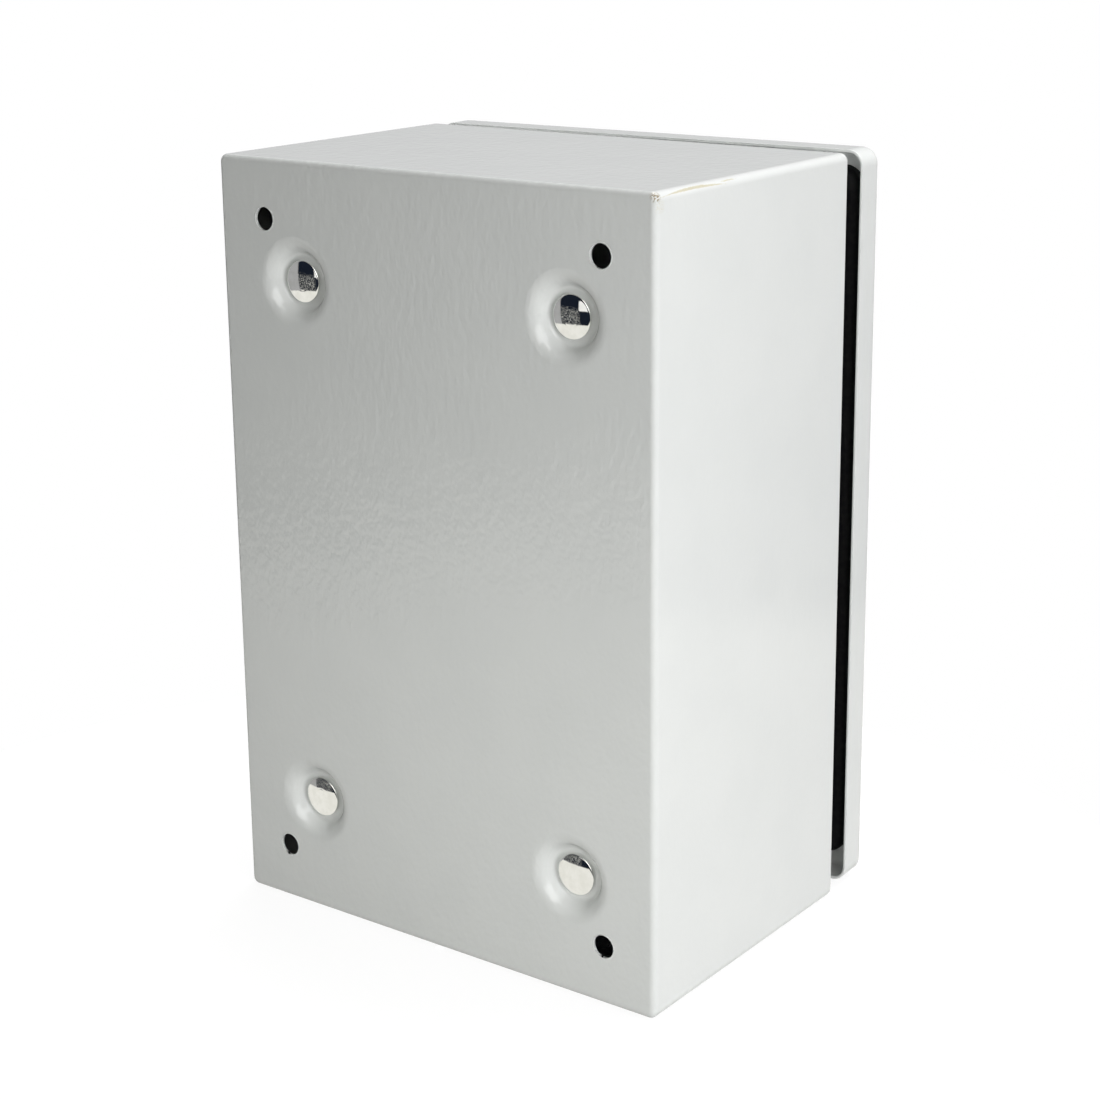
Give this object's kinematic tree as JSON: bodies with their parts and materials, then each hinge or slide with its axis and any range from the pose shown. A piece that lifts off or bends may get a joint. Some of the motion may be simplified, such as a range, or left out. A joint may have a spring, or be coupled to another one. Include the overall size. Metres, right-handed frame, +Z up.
{
  "type": "metal distribution box",
  "caption": "Wall-mounted sheet-steel distribution box with a hinged gasketed door, quarter-turn lock, inner mounting plate and pressed stand-off dimples in its back.",
  "frame": {"origin": "centre of the four wall holes on the outer face of the back", "axes": "+X across the box as seen from the front, +Y into the wall, +Z up"},
  "size_m": [0.2002, 0.1557, 0.3],
  "materials": {
    "powder_coat": "light grey textured powder coat",
    "plated_stud": "bright plated",
    "galvanised_sheet": "galvanised sheet",
    "zinc_plated": "zinc plated",
    "copper_plated_stud": "thin copper plating",
    "pin_steel": "ground steel",
    "foam_seal": "black polyurethane foam with a closed skin",
    "lock_rubber": "black rubber",
    "lock_zinc": "die-cast zinc, satin",
    "lock_chrome": "bright chrome"
  },
  "bodies": {
    "cabinet": {"body_shell": "powder_coat", "plate_studs": "plated_stud", "mounting_plate": "galvanised_sheet", "plate_washers": "zinc_plated", "plate_nuts": "zinc_plated", "gland_gasket": "foam_seal", "gland_plate": "galvanised_sheet", "gland_studs": "copper_plated_stud", "gland_washers": "zinc_plated", "gland_nuts": "zinc_plated", "body_earth_stud": "copper_plated_stud", "body_earth_washer": "zinc_plated", "body_earth_nut": "zinc_plated", "hinge_arm_upper": "galvanised_sheet", "hinge_arm_lower": "galvanised_sheet", "lock_keeper": "galvanised_sheet"},
    "door": {"door_panel": "powder_coat", "door_gasket": "foam_seal", "hinge_bracket_upper": "galvanised_sheet", "hinge_bracket_lower": "galvanised_sheet", "hinge_pin_upper": "pin_steel", "hinge_pin_lower": "pin_steel", "pin_clip_upper": "zinc_plated", "pin_clip_lower": "zinc_plated", "door_earth_stud": "copper_plated_stud", "door_earth_washer": "zinc_plated", "door_earth_nut": "zinc_plated", "lock_housing": "lock_zinc", "lock_seal": "lock_rubber", "lock_ring_nut": "lock_zinc"},
    "lock": {"lock_core": "lock_chrome", "lock_cam": "lock_zinc", "cam_washer": "zinc_plated", "cam_screw": "zinc_plated"}
  },
  "joints": [
    {"name": "door_hinge", "type": "hinge", "parent": "cabinet", "child": "door", "pos_m": [0.096, -0.1365, 0], "axis": [0, 0, 1], "range_deg": [-1.6, 110]},
    {"name": "lock_turn", "type": "hinge", "parent": "door", "child": "lock", "pos_m": [-0.06594, -0.14102, 0], "axis": [-0.0279, 0.9996, 0], "range_deg": [0, 90]}
  ]
}
